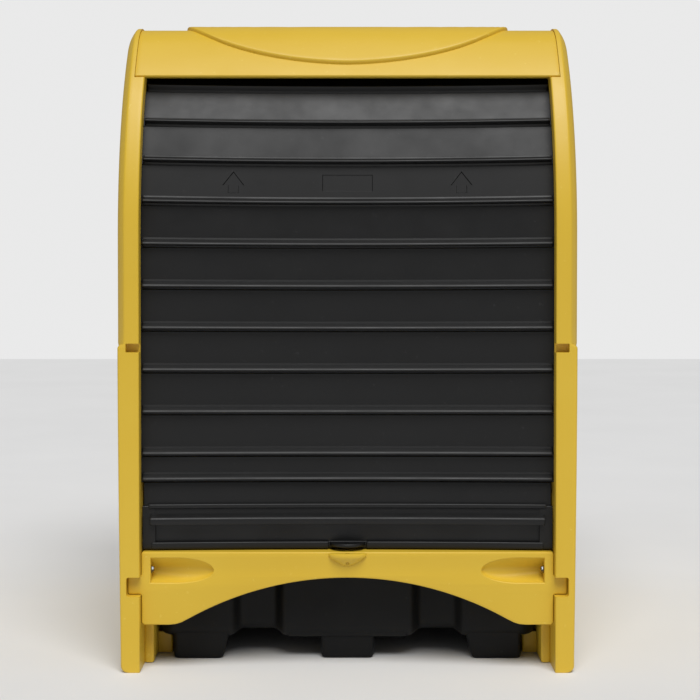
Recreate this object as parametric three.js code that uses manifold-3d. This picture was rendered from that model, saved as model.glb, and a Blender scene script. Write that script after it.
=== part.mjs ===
// Hard-cover spill containment shelter: a sump pallet with lift-out gratings inside
// a moulded shell whose ribbed door rolls up under the roof.
// Millimetres, +Z up. The origin is on the floor under the middle, the front faces -Y.
// "Depth" is always measured rearward from the front plane of the side panels.
import * as THREE from 'three';
import { mergeVertices } from 'three/addons/utils/BufferGeometryUtils.js';
import Module from 'manifold-3d';

const wasm = await Module();
wasm.setup();

// ---------------------------------------------------------------- driving sizes
const DEPTH = 1530;            // front plane to rear plane
const ROOF_TOP = 2130;         // flat of the roof above the floor
const RIM = 3;                 // the side panels stand this far proud of the roof
const SIDE_OUTER = 737;        // outer face of the side panels
const SIDE_BULGE = 12;         // raised field on that face
const SIDE_INNER = 670;        // inner face of the side panels beside the door
const STEP = { inner: 642, inset: 58 };  // stepped wall inside the door's track, beside the pallet
const FOOT = { inner: 594, height: 72, front: 255, rear: 1400 };  // flange under the pallet's shoulder
const PAD = { inset: 105, bottom: 1060, taper: 45 };              // raised field on the outer face
const NOTCH = { low: 1038, high: 1067, depth: 34, outer: 716 };   // strap notch in the front edge
const EDGE_BEVEL = { x: 721, depth: 52, bottom: 1066 };           // bevel of the upper front edge
const SKIN = 6;                // wall of the double-skinned mouldings
const FLOOR_SKIN = 30;         // solid foot of the double-skinned walls
const SEAM_X = 706;            // roof, rear panel and door groove reach out to here
const GAP = 0.5;               // clearance between touching mouldings
const OVERLAP = 1;             // how far joined pieces run into each other
const PAST = 5;                // how far a cutter runs past the face it cuts

const FRONT = { straight: 1400, radius: 1000, sweep: 42 };  // lower curve of the front
const CREST_RADIUS = 184.3;
const REAR_RADIUS = 170;

const ROOF_THICK = 35;
const HEADER_BOTTOM = 1945;    // lower edge of the roof's front
const ROOF_REAR_BOTTOM = 1900; // lower edge of the roof's rear
const REAR_THICK = 42;
const REAR_BOTTOM = 60;

// The door's track, followed by the middle of the curtain's web.
const TRACK = {
  setback: 66, start: 397, crestSweep: 30, crestRadius: 350, rearCentre: 1230, rearRadius: 200, end: 3260,
};
const GROOVE_HALF = 17;
const GROOVE_START = -7;       // the door's groove starts just below the curtain
const WEB = 5;
const WEB_HALF = 694;
const RIB = { half: 665, height: 30, proud: 22, skin: 4, above: 17 };
const PANEL_LENGTH = 212;      // rigid bottom panel, along the track
const SHORT_SLAT = 84;         // the first slat above it
const SLAT_PITCH = 137;
const SLAT_COUNT = 13;
const SLAT_GAP = 1.3;          // at each end of a slat, so that they clear on the bends

const SKIRT = { top: 386, bottom: 148, apex: 306, front: 34, back: 118, flat: 556, half: 669 };
const TAB = { outer: 715, low: 248, high: 308, back: 64 };
const POCKET = { outer: 641, inner: 437, low: 286, high: 366, back: 84 };
const LOCK = { half: 62, reach: 29, drop: 42, hole: 6.5, depth: 21 };
const PANEL_FRAME = { half: 664, proud: 16, bottom: 26, top: 140, width: 18, ledge: 12 };
const PULL_BAR = { half: 640, reach: 40, top: 106, thick: 6, lip: 8, drop: 22 };

const PALLET = { half: 640, front: 160, length: 1300, height: 340, corner: 70, wall: 8 };
const SHOULDER = 103;
const FLOOR = 14;              // thickness of the tub's floor
const CHANNEL = { inner: 213, outer: 388 };
const FOOT_ROW = { length: 300, inset: 8, narrow: 120, outer: 583 };
const BAY = { x: 300, half: 72, depth: 45, below: 74 };
const PEDESTAL = { half: 55, rows: [400, 900] };
const GRATE = { thick: 34, ledge: 22, across: 5, along: 12, bar: 16, inset: 10, corner: 60 };

const BOLT = { seat: 15, head: 14, height: 8, hole: 5.5, shank: 4.6, length: 40 };
const SKIRT_BOLT = { d: 59, z: 326, hole: 7, shank: 6.5, length: 34 };
const ROOF_BOLT_D = [560, 1180];
const REAR_BOLT_X = 688;
const REAR_BOLT_Z = [420, 1560];

// ------------------------------------------------------------------- colours
const paint = (color, roughness, metalness = 0) => () =>
  new THREE.MeshStandardMaterial({ color, roughness, metalness, flatShading: true });
const YELLOW = paint(0xe0b63e, 0.42);
const BLACK = paint(0x202124, 0.48);
const PALLET_BLACK = paint(0x17181a, 0.6);
const STEEL = paint(0xb4b6b8, 0.3, 0.9);

// --------------------------------------------------------------- solid helpers
const RAD = Math.PI / 180;
const AXES = {
  // Each maps a drawn outline and its thickness onto the frame.
  x: [new THREE.Vector3(0, 1, 0), new THREE.Vector3(0, 0, 1), new THREE.Vector3(1, 0, 0)],
  y: [new THREE.Vector3(1, 0, 0), new THREE.Vector3(0, 0, 1), new THREE.Vector3(0, -1, 0)],
  z: [new THREE.Vector3(1, 0, 0), new THREE.Vector3(0, 1, 0), new THREE.Vector3(0, 0, 1)],
};

function toSolid(geometry) {
  geometry.deleteAttribute('normal');
  geometry.deleteAttribute('uv');
  const merged = mergeVertices(geometry, 1e-3);
  return new wasm.Manifold(new wasm.Mesh({
    numProp: 3,
    vertProperties: Float32Array.from(merged.attributes.position.array),
    triVerts: Uint32Array.from(merged.index.array),
  }));
}

function extrude(outline, thickness) {
  const shape = new THREE.Shape(outline.map(([a, b]) => new THREE.Vector2(a, b)));
  return new THREE.ExtrudeGeometry(shape, { depth: thickness, bevelEnabled: false });
}

function place(geometry, axis, origin) {
  const matrix = new THREE.Matrix4().makeBasis(...AXES[axis]).setPosition(...origin);
  return toSolid(geometry.applyMatrix4(matrix));
}

// Outline of [depth, z] pairs, swept between two x positions.
const alongX = (outline, x0, x1) =>
  place(extrude(outline, Math.abs(x1 - x0)), 'x', [Math.min(x0, x1), -DEPTH / 2, 0]);
// Outline of [x, z] pairs, swept between two depths.
const alongY = (outline, d0, d1) =>
  place(extrude(outline, d1 - d0), 'y', [0, d1 - DEPTH / 2, 0]);
// Outline of [x, depth] pairs, swept between two heights.
const alongZ = (outline, z0, z1) =>
  place(extrude(outline, z1 - z0), 'z', [0, -DEPTH / 2, z0]);

const block = (x0, x1, d0, d1, z0, z1) => alongZ([[x0, d0], [x1, d0], [x1, d1], [x0, d1]], z0, z1);

const fuse = (solids) => solids.reduce((sum, solid) => sum.add(solid));
const cut = (solid, tools) => tools.reduce((rest, tool) => rest.subtract(tool), solid);

function arc(cx, cy, radius, from, to, steps) {
  const points = [];
  for (let i = 0; i <= steps; i += 1) {
    const angle = (from + ((to - from) * i) / steps) * RAD;
    points.push([cx + radius * Math.cos(angle), cy + radius * Math.sin(angle)]);
  }
  return points;
}

function roundedBox(x0, x1, y0, y1, radius, steps = 4) {
  return [
    ...arc(x1 - radius, y1 - radius, radius, 0, 90, steps),
    ...arc(x0 + radius, y1 - radius, radius, 90, 180, steps),
    ...arc(x0 + radius, y0 + radius, radius, 180, 270, steps),
    ...arc(x1 - radius, y0 + radius, radius, 270, 360, steps),
  ];
}

// A hexagon-headed or round fastener: a lathe about local +Z, head at the top.
function fastener(headRadius, headHeight, shankRadius, shankLength, sides) {
  const profile = [[0, -shankLength], [shankRadius, -shankLength], [shankRadius, 0],
    [headRadius, 0], [headRadius, headHeight * 0.75], [headRadius * 0.85, headHeight], [0, headHeight]];
  const lathe = new THREE.LatheGeometry(profile.map(([r, z]) => new THREE.Vector2(r, z)), sides);
  return lathe.rotateX(Math.PI / 2);
}

// A round cutter for a bolt hole, centred on a point, along one axis of the frame.
const rod = (radius, length, axis, centre) =>
  place(new THREE.CylinderGeometry(radius, radius, length, 16).rotateX(Math.PI / 2), axis, centre);

// ---------------------------------------------------------- the shell's side view
// Points of the shell's front and roof line, a distance inset inside it.
function frontCurve(inset) {
  const { straight, radius, sweep } = FRONT;
  return arc(radius, straight, radius - inset, 180, 180 - sweep, 10);
}

function crestCurve(inset) {
  const { straight, radius, sweep } = FRONT;
  const reach = radius - CREST_RADIUS;
  const cx = radius - reach * Math.cos(sweep * RAD);
  const cz = straight + reach * Math.sin(sweep * RAD);
  return arc(cx, cz, CREST_RADIUS - inset, 180 - sweep, 90, 7).slice(1);
}

const rearCurve = (inset) =>
  arc(DEPTH - REAR_RADIUS, ROOF_TOP - REAR_RADIUS, REAR_RADIUS - inset, 90, 0, 6);

const shellLine = (inset) => [...frontCurve(inset), ...crestCurve(inset), ...rearCurve(inset)];
const shellOutline = (inset, bottom) =>
  [[inset, bottom], ...shellLine(inset), [DEPTH - inset, bottom]].reverse();

// ------------------------------------------------------------------ door track
const LOW_RADIUS = FRONT.radius - TRACK.setback;
const CREST_TURN = TRACK.crestSweep * RAD;
const BEND = [FRONT.radius - LOW_RADIUS * Math.cos(CREST_TURN),
  FRONT.straight + LOW_RADIUS * Math.sin(CREST_TURN)];
const CREST = [BEND[0] + TRACK.crestRadius * Math.cos(CREST_TURN),
  BEND[1] - TRACK.crestRadius * Math.sin(CREST_TURN)];
const TRACK_TOP = CREST[1] + TRACK.crestRadius;

// Arc lengths where the straight, the low arc, the crest, the run under the roof and the
// rear corner end.
const TRACK_ENDS = [FRONT.straight - TRACK.start, LOW_RADIUS * CREST_TURN,
  TRACK.crestRadius * (90 * RAD - CREST_TURN), TRACK.rearCentre - CREST[0], TRACK.rearRadius * 90 * RAD]
  .reduce((ends, length) => [...ends, (ends.at(-1) ?? 0) + length], []);

// A place on a front arc of the track, where the door has turned that far from upright.
const onArc = ([d, z], radius, turn) =>
  ({ d: d - radius * Math.cos(turn), z: z + radius * Math.sin(turn), turn });

// Position and heading at an arc length along the web's middle.
function trackPoint(s) {
  const [straight, low, crest, flat, rear] = TRACK_ENDS;
  if (s <= straight) return { d: TRACK.setback, z: TRACK.start + s, turn: 0 };
  if (s <= low) return onArc([FRONT.radius, FRONT.straight], LOW_RADIUS, (s - straight) / LOW_RADIUS);
  if (s <= crest) return onArc(CREST, TRACK.crestRadius, CREST_TURN + (s - low) / TRACK.crestRadius);
  if (s <= flat) return { d: CREST[0] + s - crest, z: TRACK_TOP, turn: 90 * RAD };
  const turn = Math.min(s - flat, rear - flat) / TRACK.rearRadius;
  return {
    d: TRACK.rearCentre + TRACK.rearRadius * Math.sin(turn),
    z: TRACK_TOP - TRACK.rearRadius * (1 - Math.cos(turn)) - Math.max(s - rear, 0),
    turn: 90 * RAD + turn,
  };
}

// Arc lengths at which the track is drawn: close together on its bends.
function trackStops() {
  const [straight, low, crest, flat, rear] = TRACK_ENDS;
  const split = (from, to, steps) => Array.from({ length: steps }, (_, i) => from + ((to - from) * i) / steps);
  return [GROOVE_START, ...split(straight, low, 5), ...split(low, crest, 6), crest, ...split(flat, rear, 6),
    rear, TRACK.end];
}

// The track offset toward the inside of the shelter by "inset" (negative is outward).
function trackLine(inset) {
  return trackStops().map((s) => {
    const { d, z, turn } = trackPoint(s);
    return [d + inset * Math.cos(turn), z - inset * Math.sin(turn)];
  });
}

// ------------------------------------------------------------------ side panels
function sidePanel(side) {
  const span = (outline, a, b) => alongX(outline, side * a, side * b);
  const rect = (d0, d1, z0, z1) => [[d0, z0], [d1, z0], [d1, z1], [d0, z1]];
  const body = span(shellOutline(-RIM, 0).map(([d, z]) => [Math.min(Math.max(d, 0), DEPTH), z]),
    SIDE_INNER, SIDE_OUTER);

  // Raised field: a tapered pad on the outer face.
  const pad = shellOutline(PAD.inset, PAD.bottom).map(([d, z]) => new THREE.Vector2(d, z));
  const raised = new THREE.ExtrudeGeometry(new THREE.Shape(pad), {
    depth: 2 * OVERLAP, bevelThickness: SIDE_BULGE - OVERLAP, bevelSize: PAD.taper, bevelSegments: 1,
  });
  const field = place(raised, 'x', [side * SIDE_OUTER - OVERLAP, -DEPTH / 2, 0]);

  const inside = (inset, bottom) => {
    const line = trackLine(inset);
    return [[line[0][0], bottom], ...line.slice(1), [line.at(-1)[0], bottom]].reverse();
  };
  const step = span(inside(STEP.inset, 0), STEP.inner, SIDE_INNER + OVERLAP);
  const foot = span(rect(FOOT.front, FOOT.rear, 0, FOOT.height), FOOT.inner, STEP.inner + OVERLAP);

  const groove = span([...trackLine(-GROOVE_HALF), ...trackLine(GROOVE_HALF).reverse()],
    SIDE_INNER - OVERLAP, SEAM_X);
  const seat = [SIDE_INNER - OVERLAP, SEAM_X + GAP];
  const roofSeat = span(roofOutline(-20, ROOF_THICK + RIM + OVERLAP, -GAP), ...seat);
  const rearSeat = span(rect(DEPTH - REAR_THICK - GAP, DEPTH + PAST, REAR_BOTTOM - GAP, ROOF_REAR_BOTTOM + 9),
    ...seat);
  const hollow = span(inside(GROOVE_HALF + SKIN + 3, FLOOR_SKIN), SIDE_INNER + SKIN, SIDE_OUTER - SKIN);
  const stepHollow = span(inside(STEP.inset + SKIN, FLOOR_SKIN),
    STEP.inner + SKIN, SIDE_INNER + SKIN + OVERLAP);
  const vent = span(rect(700, 860, -PAST, FLOOR_SKIN + 10), 690, 718);
  const notch = span(rect(-PAST, NOTCH.depth, NOTCH.low, NOTCH.high), SIDE_INNER - PAST, NOTCH.outer);
  const mortise = span(rect(-PAST, TAB.back + GAP, TAB.low - GAP, TAB.high + GAP),
    SIDE_INNER - PAST, TAB.outer + GAP);
  // The front edge of the upper part is bevelled toward the outer face.
  const bevel = alongZ([[side * EDGE_BEVEL.x, -PAST], [side * 760, -PAST], [side * 760, EDGE_BEVEL.depth],
    [side * SIDE_OUTER, EDGE_BEVEL.depth]], EDGE_BEVEL.bottom, ROOF_TOP);
  const boltX = side * REAR_BOLT_X;
  const skirtHole = rod(SKIRT_BOLT.hole, 60, 'x', [side * 680, SKIRT_BOLT.d - DEPTH / 2, SKIRT_BOLT.z]);
  const rearHoles = REAR_BOLT_Z.map((z) => rod(BOLT.hole, 60, 'y', [boltX, DEPTH / 2 - 50, z]));
  const roofHoles = ROOF_BOLT_D.map((d) => rod(BOLT.hole, 60, 'z', [boltX, d - DEPTH / 2, ROOF_TOP - 60]));
  return cut(fuse([body, field, step, foot]),
    [groove, roofSeat, rearSeat, hollow, stepHollow, vent, notch, mortise, bevel, skirtHole,
      ...rearHoles, ...roofHoles]);
}

// ----------------------------------------------------------------- roof and rear
// Side view of the roof's wall between two insets, grown by "grow" at both ends.
function roofOutline(outer, inner, grow) {
  const front = HEADER_BOTTOM + grow;
  const rear = ROOF_REAR_BOTTOM + grow;
  const clip = (line, inset) => {
    const kept = line.filter(([d, z]) => z > (d < DEPTH / 2 ? front : rear) + 8);
    const radius = FRONT.radius - inset;
    const lift = front - FRONT.straight;
    return [[FRONT.radius - Math.sqrt(radius * radius - lift * lift), front], ...kept,
      [DEPTH - inset, rear]];
  };
  return [...clip(shellLine(inner), inner), ...clip(shellLine(outer), outer).reverse()];
}

function crown() {
  // Raised field on the roof with an arched front edge.
  const half = 559;
  const sag = 140;
  const radius = (half * half + sag * sag) / (2 * sag);
  const spread = Math.asin(half / radius) / RAD;
  const crestZ = 2144;
  const front = arc(0, crestZ - sag + radius, radius, 270 - spread, 270 + spread, 20);
  const region = alongY([...front, [half, ROOF_TOP + 60], [-half, ROOF_TOP + 60]], 60, DEPTH - 210);
  const plan = alongZ(roundedBox(-half, half, 60, DEPTH - 210, 130, 6), ROOF_TOP - 240, ROOF_TOP + 60);
  const band = alongX(roofOutline(-11, 8, 0), -half - 10, half + 10);
  return band.intersect(region).intersect(plan);
}

function roof() {
  const half = SEAM_X - GAP;
  const wall = alongX(roofOutline(RIM, ROOF_THICK + RIM, 0), -half, half);
  const skin = alongX(roofOutline(RIM + SKIN, ROOF_THICK + RIM - SKIN, SKIN), 12 - half, half - 12);
  const vents = [-400, 400].map((x) => block(x - 60, x + 60, 700, 760, ROOF_TOP - 60, ROOF_TOP - 20));
  const posts = ROOF_BOLT_D.flatMap((d) => [-REAR_BOLT_X, REAR_BOLT_X].map((x) =>
    block(x - 14, x + 14, d - 14, d + 14, ROOF_TOP - 36, ROOF_TOP - RIM - 2)));
  const holes = ROOF_BOLT_D.flatMap((d) => [-1, 1].map((side) => place(
    fastener(BOLT.seat, 30, BOLT.hole, 70, 16), 'z', [side * REAR_BOLT_X, d - DEPTH / 2, ROOF_TOP - 13])));
  return cut(fuse([cut(wall, [skin]), ...posts, crown()]), [...vents, ...holes]);
}

function rearPanel() {
  const half = SEAM_X - GAP;
  const d0 = DEPTH - REAR_THICK;
  const d1 = DEPTH - RIM;
  const top = ROOF_REAR_BOTTOM - GAP;
  const wall = alongY([[-half, REAR_BOTTOM], [half, REAR_BOTTOM], [half, top], [-half, top]], d0, d1);
  // Two upright recessed fields stiffen the outer face.
  const fields = [-1, 1].map((side) => alongY(
    roundedBox(side * 340 - 250, side * 340 + 250, 300, 1700, 60), d1 - 10, d1 + 5));
  const hollow = alongY(roundedBox(-half + 40, half - 40, REAR_BOTTOM + 12, top - 12, 40),
    d0 + SKIN, d1 - 10 - SKIN);
  const vents = [-500, 500].map((x) => block(x - 40, x + 40, d0 - 5, d0 + SKIN + 5, 90, 130));
  const holes = REAR_BOLT_Z.flatMap((z) => [-1, 1].map((side) => place(
    fastener(BOLT.seat, 30, BOLT.hole, 70, 16).rotateX(Math.PI), 'y',
    [side * REAR_BOLT_X, DEPTH / 2 - 16, z])));
  return cut(wall, [...fields, hollow, ...vents, ...holes]);
}

// ------------------------------------------------------------------- front skirt
function pocketOutline(side, grow) {
  // Flat at the outer end, half an ellipse toward the middle.
  const straight = 560;
  const mid = (POCKET.low + POCKET.high) / 2;
  const rise = (POCKET.high - POCKET.low) / 2 + grow;
  const reach = straight - POCKET.inner + grow;
  const tip = arc(0, 0, 1, 270, 90, 12).map(([a, b]) => [straight + a * reach, mid + b * rise]);
  const outline = [...tip, [POCKET.outer + grow, mid + rise], [POCKET.outer + grow, mid - rise]];
  return side > 0 ? outline.reverse() : outline.map(([x, z]) => [-x, z]);
}

function skirtOutline(inset) {
  const { top, bottom, apex, flat, half } = SKIRT;
  const sag = apex - bottom;
  const radius = (flat * flat + sag * sag) / (2 * sag);
  const spread = Math.asin(flat / radius) / RAD;
  const arch = arc(0, apex - radius, radius + inset, 90 - spread, 90 + spread, 24)
    .filter(([, z]) => z > bottom + inset + 1);
  const reach = Math.sqrt((radius + inset) ** 2 - (bottom + inset - apex + radius) ** 2);
  return [[half - inset, bottom + inset], [half - inset, top - inset], [inset - half, top - inset],
    [inset - half, bottom + inset], [-reach, bottom + inset], ...arch.reverse(), [reach, bottom + inset]];
}

function frontSkirt() {
  const { front, back } = SKIRT;
  const wall = alongY(skirtOutline(0), front, back);
  const tabs = [-1, 1].map((side) => block(Math.min(side * 660, side * TAB.outer),
    Math.max(side * 660, side * TAB.outer), front - 4, TAB.back, TAB.low, TAB.high));
  const hollow = cut(alongY(skirtOutline(SKIN + 2), front + SKIN, back - SKIN),
    [-1, 1].map((side) => alongY(pocketOutline(side, SKIN), front, POCKET.back + SKIN)));
  const pockets = [-1, 1].map((side) => alongY(pocketOutline(side, 0), front - 10, POCKET.back));
  const vents = [-250, 250].map((x) => block(x - 40, x + 40, back - SKIN - 5, back + 5, 340, 370));
  const boltHoles = [-1, 1].map((side) =>
    rod(SKIRT_BOLT.hole, 80, 'x', [side * 670, SKIRT_BOLT.d - DEPTH / 2, SKIRT_BOLT.z]));
  return cut(fuse([cut(wall, [hollow]), ...tabs]), [...pockets, ...vents, ...boltHoles]);
}

// Lug under the door's lock tab: the front lower quarter of a lens, with a padlock hole.
function lockLug() {
  const { half, reach, drop, hole, depth } = LOCK;
  const { front, top } = SKIRT;
  const lens = new THREE.SphereGeometry(1, 24, 12).scale(half, reach, drop)
    .translate(0, front - DEPTH / 2, top - 5);
  const quarter = block(-half - 5, half + 5, front - reach - 5, front - GAP, top - drop - 10, top - 5);
  const bore = new THREE.CylinderGeometry(hole, hole, 2 * drop, 20).rotateX(Math.PI / 2)
    .translate(0, depth - DEPTH / 2, top - drop);
  return cut(toSolid(lens).intersect(quarter), [toSolid(bore)]);
}

// -------------------------------------------------------------------------- door
// Turns a solid drawn in the curtain's own plane (x, out, up) onto the track.
function onTrack(geometry, s0, s1) {
  const a = trackPoint(s0);
  const b = trackPoint(s1);
  const turn = Math.atan2(b.d - a.d, b.z - a.z);
  const matrix = new THREE.Matrix4().makeRotationX(-turn);
  matrix.setPosition(0, (a.d + b.d) / 2 - DEPTH / 2, (a.z + b.z) / 2);
  return toSolid(geometry.applyMatrix4(matrix));
}

// Outline of [out, up] pairs in the curtain's plane, swept across the door.
function curtainStrip(outline, half) {
  const geometry = extrude(outline.map(([out, up]) => [-out, up]).reverse(), 2 * half);
  return geometry.applyMatrix4(new THREE.Matrix4().makeBasis(...AXES.x).setPosition(-half, 0, 0));
}

function slat(s0, s1) {
  const length = s1 - s0;
  const low = -length / 2 + SLAT_GAP;
  const high = length / 2 - SLAT_GAP;
  const web = curtainStrip([[-WEB / 2, low], [-WEB / 2, high], [WEB / 2, high], [WEB / 2, low]], WEB_HALF);
  const { half, height, proud, skin, above } = RIB;
  const mid = -length / 2 + above;
  const nose = height / 2 - 6;
  const rib = curtainStrip([[0, mid - height / 2], [0, mid + height / 2], [proud * 0.55, mid + nose + 3],
    [WEB / 2 + proud - 3, mid + nose], [WEB / 2 + proud, mid + nose - 4], [WEB / 2 + proud, mid - nose],
    [WEB / 2 + proud - 4, mid - nose - 4]], half);
  const groove = curtainStrip([[-WEB, mid - nose + 1], [-WEB, mid + nose - 1],
    [WEB / 2 + proud - skin, mid + nose - skin - 2], [WEB / 2 + proud - skin, mid - nose + skin]], half + 1);
  return onTrackAll([web, rib], [groove], s0, s1);
}

function onTrackAll(parts, tools, s0, s1) {
  return cut(fuse(parts.map((part) => onTrack(part, s0, s1))), tools.map((tool) => onTrack(tool, s0, s1)));
}

// A box in the curtain's plane: x range, out range, and height above the door's bottom edge.
function panelBlock(x0, x1, out0, out1, up0, up1) {
  return new THREE.BoxGeometry(x1 - x0, out1 - out0, up1 - up0)
    .translate((x0 + x1) / 2, -(out0 + out1) / 2, (up0 + up1) / 2 - PANEL_LENGTH / 2);
}

function bottomPanel() {
  const { half, proud, bottom, top, width, ledge } = PANEL_FRAME;
  const edge = 0.6;            // clearance to the first slat and at the bottom
  const web = panelBlock(-RIB.half, RIB.half, -WEB / 2, WEB / 2, edge, PANEL_LENGTH - edge);
  const frame = [
    panelBlock(-half, half, 0, proud, top, top + ledge),
    panelBlock(-half, half, 0, proud, edge, bottom),
    panelBlock(-half, width - half, 0, proud, bottom - OVERLAP, top + OVERLAP),
    panelBlock(half - width, half, 0, proud, bottom - OVERLAP, top + OVERLAP),
  ];
  const lockRecess = panelBlock(-LOCK.half - 2, LOCK.half + 2, WEB / 2, proud + PAST, -PAST, bottom + OVERLAP);
  return onTrackAll([web, ...frame], [lockRecess], 0, PANEL_LENGTH);
}

function pullBar() {
  const { half, reach, top, thick, lip, drop } = PULL_BAR;
  const bar = panelBlock(-half, half, WEB / 2 + GAP, reach, top - thick, top);
  const edge = panelBlock(-half, half, reach - lip, reach, top - drop, top);
  return onTrackAll([bar, edge], [], 0, PANEL_LENGTH);
}

function lockTab() {
  const reach = TRACK.setback - WEB / 2 - GAP - 10;
  const plate = extrude(arc(0, 0, 1, 180, 360, 18).map(([x, y]) => [x * (LOCK.half - 4), y * reach]), 12)
    .translate(0, -(WEB / 2 + GAP), 2 - PANEL_LENGTH / 2);
  const hole = new THREE.CylinderGeometry(LOCK.hole, LOCK.hole, 40, 20).rotateX(Math.PI / 2)
    .translate(0, LOCK.depth - TRACK.setback, 8 - PANEL_LENGTH / 2);
  return onTrackAll([plate], [hole], 0, PANEL_LENGTH);
}

// ---------------------------------------------------------------- sump and gratings
// Feet stand in three rows; the gaps between rows are the cross channels.
function footRows() {
  const { front, length } = PALLET;
  const starts = [FOOT_ROW.inset, (length - FOOT_ROW.length) / 2, length - FOOT_ROW.length];
  const ends = [FOOT_ROW.length, (length + FOOT_ROW.length) / 2, length - FOOT_ROW.inset];
  return starts.map((start, i) => [front + start, front + ends[i]]);
}
const FOOT_COLUMNS = [[-FOOT_ROW.outer, -CHANNEL.outer], [-CHANNEL.inner, CHANNEL.inner],
  [CHANNEL.outer, FOOT_ROW.outer]];

function sumpPallet() {
  const { half, front, length, height, corner, wall } = PALLET;
  const rear = front + length;
  const plan = (inset) =>
    roundedBox(-half + inset, half - inset, front + inset, rear - inset, corner - inset, 5);
  const ledgeTop = height - GRATE.thick - OVERLAP;
  const tub = alongZ(plan(0), SHOULDER - FLOOR, height);
  const inner = alongZ(plan(wall), SHOULDER, height + PAST);
  const ledge = cut(alongZ(plan(wall / 2), ledgeTop - 9, ledgeTop), [alongZ(plan(GRATE.ledge), 0, height)]);
  const feet = [];
  const wells = [];
  footRows().forEach(([d0, d1]) => FOOT_COLUMNS.forEach(([x0, x1]) => {
    const narrow = x0 < 0 && x1 > 0 ? FOOT_ROW.narrow : 0;
    const inset = FOOT_ROW.inset;
    feet.push(block(x0, x1, d0, d1, FOOT.height - 4, SHOULDER - 4));
    feet.push(block(x0 + narrow, x1 - narrow, d0 + inset, d1 - inset, 0, FOOT.height));
    wells.push(block(x0 + wall, x1 - wall, d0 + wall, d1 - wall, FOOT.height - 4 + wall, SHOULDER + PAST));
    wells.push(block(x0 + narrow + wall, x1 - narrow - wall, d0 + inset + wall, d1 - inset - wall,
      wall, SHOULDER));
  }));
  // Pedestals over the fork channels carry the gratings.
  const pedestals = [-1, 1].flatMap((side) => PEDESTAL.rows.map((row) => {
    const x = (side * (CHANNEL.inner + CHANNEL.outer)) / 2;
    const d = front + row;
    const reach = PEDESTAL.half;
    return block(x - reach, x + reach, d - reach, d + reach, SHOULDER - 6, ledgeTop);
  }));
  // Shallow bays over the channels give the front and rear faces their three blocks.
  const bayTop = height - BAY.below;
  const bay = (side, grow, d0, d1, z0) =>
    block(side * BAY.x - BAY.half - grow, side * BAY.x + BAY.half + grow, d0, d1, z0, bayTop + grow);
  const bays = [-1, 1].flatMap((side) => [bay(side, 0, front - PAST, front + BAY.depth, 60),
    bay(side, 0, rear - BAY.depth, rear + PAST, 60)]);
  const bayWalls = [-1, 1].flatMap((side) => [
    bay(side, wall, front + 2, front + BAY.depth + wall, SHOULDER - wall),
    bay(side, wall, rear - BAY.depth - wall, rear - 2, SHOULDER - wall)]);
  const shell = cut(fuse([tub, ...feet]), [inner, ...wells]);
  return cut(fuse([shell, ledge, ...pedestals, ...bayWalls]), bays);
}

function grating(side) {
  const { half, front, length, height } = PALLET;
  const { inset, corner, bar, across, along } = GRATE;
  const outer = half - inset;
  const d0 = front + inset;
  const d1 = front + length - inset;
  const z0 = height - GRATE.thick;
  const plan = alongZ(roundedBox(-outer, outer, d0, d1, corner, 5), z0, height - OVERLAP)
    .intersect(block(...(side > 0 ? [1, outer + PAST] : [-outer - PAST, -1]), d0 - PAST, d1 + PAST,
      z0 - PAST, height + PAST));
  const border = { x: 20, d: 30 };
  const pitchX = (outer - 2 * border.x) / across;
  const pitchD = (d1 - d0 - 2 * border.d) / along;
  const slots = [];
  for (let i = 0; i < across; i += 1) {
    for (let j = 0; j < along; j += 1) {
      const x = side * (border.x + pitchX * (i + 0.5));
      const d = d0 + border.d + pitchD * (j + 0.5);
      slots.push(block(x - (pitchX - bar) / 2, x + (pitchX - bar) / 2,
        d - (pitchD - bar) / 2, d + (pitchD - bar) / 2, z0 - PAST, height + PAST));
    }
  }
  return cut(plan, slots);
}

// ------------------------------------------------------------------- the assembly
const shelter = new THREE.Group();
shelter.name = 'spill_shelter';

function addNode(name, solid, material) {
  const { vertProperties, triVerts } = solid.getMesh();
  const geometry = new THREE.BufferGeometry();
  geometry.setAttribute('position', new THREE.BufferAttribute(Float32Array.from(vertProperties), 3));
  geometry.setIndex(new THREE.BufferAttribute(Uint32Array.from(triVerts), 1));
  geometry.computeVertexNormals();
  const mesh = new THREE.Mesh(geometry, material());
  mesh.name = name;
  shelter.add(mesh);
}

addNode('sump_pallet', sumpPallet(), PALLET_BLACK);
[['left', -1], ['right', 1]].forEach(([word, side]) => {
  addNode(`grating_${word}`, grating(side), PALLET_BLACK);
  addNode(`side_panel_${word}`, sidePanel(side), YELLOW);
});
addNode('rear_panel', rearPanel(), YELLOW);
addNode('roof', roof(), YELLOW);
addNode('front_skirt', frontSkirt(), YELLOW);
addNode('lock_lug', lockLug(), YELLOW);

addNode('door_bottom_panel', bottomPanel(), BLACK);
addNode('door_pull_bar', pullBar(), BLACK);
addNode('door_lock_tab', lockTab(), BLACK);
let edge = PANEL_LENGTH;
for (let i = 1; i <= SLAT_COUNT; i += 1) {
  const next = edge + (i === 1 ? SHORT_SLAT : SLAT_PITCH);
  addNode(`door_slat_${String(i).padStart(2, '0')}`, slat(edge, next), BLACK);
  edge = next;
}

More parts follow.
